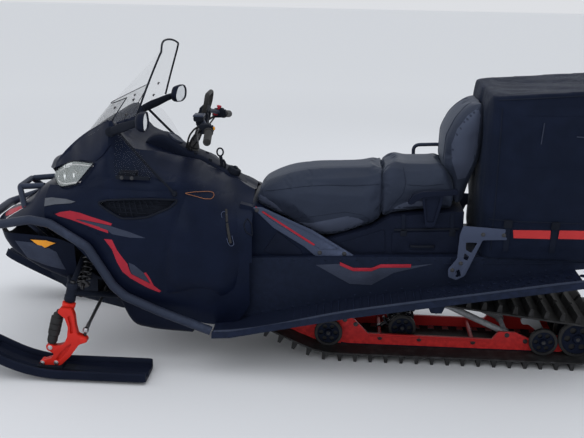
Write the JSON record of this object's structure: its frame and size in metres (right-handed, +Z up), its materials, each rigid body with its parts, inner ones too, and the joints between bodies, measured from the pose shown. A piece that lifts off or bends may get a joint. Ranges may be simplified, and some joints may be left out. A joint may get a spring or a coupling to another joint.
{
  "type": "snowmobile",
  "caption": "Two-up utility snowmobile with steered skis on leg struts, a long lugged track, tall windscreen, passenger backrest and a fitted cargo bag.",
  "frame": {"origin": "on the ground under the middle of the machine's box", "axes": "+X forward, +Y to the machine's left, +Z up"},
  "size_m": [3.271, 1.176, 1.48],
  "materials": {
    "track_rubber": "moulded rubber, matt",
    "wheel_plastic": "rubber tyres on moulded discs",
    "axle_steel": "turned steel",
    "rail_red": "red anodised look",
    "skid_grey": "grey paint",
    "shock_black": "black paint",
    "tunnel_black": "black powder coat",
    "board_black": "black powder coat",
    "engine_grey": "cast",
    "frame_black": "black paint",
    "ski_black": "moulded",
    "spindle_red": "red paint on a forging",
    "rod_steel": "dark coated steel",
    "tube_black": "satin black paint",
    "body_black": "moulded in colour, semi gloss",
    "nose_black": "grained",
    "screen_clear": "clear polycarbonate",
    "lamp_clear": "clear lens over a bright reflector",
    "mirror_black": "grained",
    "console_black": "grained",
    "seat_cover": "grained seat vinyl",
    "hold_black": "soft moulded",
    "brace_grey": "grey paint",
    "bag_fabric": "coated woven fabric",
    "lamp_red": "moulded lens",
    "flap_rubber": "moulded",
    "grip_rubber": "moulded",
    "control_black": "grained"
  },
  "bodies": {
    "root": {"track": "track_rubber", "idler_wheels": "wheel_plastic", "drive_axle": "axle_steel", "slide_rails": "rail_red", "skid_arms": "skid_grey", "skid_shocks": "shock_black", "tunnel": "tunnel_black", "running_boards": "board_black", "engine": "engine_grey", "front_frame": "frame_black", "front_arms": "frame_black", "front_shocks": "shock_black", "front_bumper": "tube_black", "lower_bumper": "tube_black", "side_rails": "tube_black", "hood": "body_black", "headlights": "lamp_clear", "nose_deck": "body_black", "lower_nose": "nose_black", "side_panels": "body_black", "belly_pan": "nose_black", "windscreen": "screen_clear", "mirrors": "mirror_black", "deflectors": "screen_clear", "console": "console_black", "tank_cover": "body_black", "seat_base": "console_black", "rider_seat": "seat_cover", "passenger_seat": "seat_cover", "backrest": "seat_cover", "passenger_handles": "hold_black", "side_braces": "brace_grey", "cargo_brackets": "brace_grey", "cargo_bag": "bag_fabric", "rear_bumper": "tube_black", "marker_lamps": "lamp_red", "snow_flap": "flap_rubber"},
    "steering": {"steering_post": "axle_steel", "handlebar": "tube_black", "grips": "grip_rubber", "controls": "control_black"},
    "ski_left": {"ski_left": "ski_black", "spindle_left": "spindle_red", "spindle_damper_left": "shock_black"},
    "ski_right": {"ski_right": "ski_black", "spindle_right": "spindle_red", "spindle_damper_right": "shock_black"},
    "tie_rod_left": {"tie_rod_left": "rod_steel"},
    "tie_rod_right": {"tie_rod_right": "rod_steel"}
  },
  "joints": [
    {"name": "handlebar_steer", "type": "hinge", "parent": "root", "child": "steering", "pos_m": [0.444, 0, 1.083], "axis": [-0.3001, 0, 0.9539], "range_deg": [-28, 28]},
    {"name": "ski_left_steer", "type": "hinge", "parent": "root", "child": "ski_left", "pos_m": [0.975, 0.462, 0.345], "axis": [-0.2054, -0.0391, 0.9779], "range_deg": [-26.8, 26.8]},
    {"name": "tie_rod_left_pivot", "type": "hinge", "parent": "ski_left", "child": "tie_rod_left", "pos_m": [0.906, 0.494, 0.178], "axis": [-0.2054, -0.0391, 0.9779], "range_deg": [-26.8, 26.8]},
    {"name": "ski_right_steer", "type": "hinge", "parent": "root", "child": "ski_right", "pos_m": [0.975, -0.462, 0.345], "axis": [-0.2054, 0.0391, 0.9779], "range_deg": [-26.8, 26.8]},
    {"name": "tie_rod_right_pivot", "type": "hinge", "parent": "ski_right", "child": "tie_rod_right", "pos_m": [0.906, -0.494, 0.178], "axis": [-0.2054, 0.0391, 0.9779], "range_deg": [-26.8, 26.8]}
  ],
  "couplings": [
    {"joint": "ski_left_steer", "follows": "handlebar_steer", "ratio": 0.95},
    {"joint": "tie_rod_left_pivot", "follows": "handlebar_steer", "ratio": -0.95},
    {"joint": "ski_right_steer", "follows": "handlebar_steer", "ratio": 0.95},
    {"joint": "tie_rod_right_pivot", "follows": "handlebar_steer", "ratio": -0.95}
  ]
}
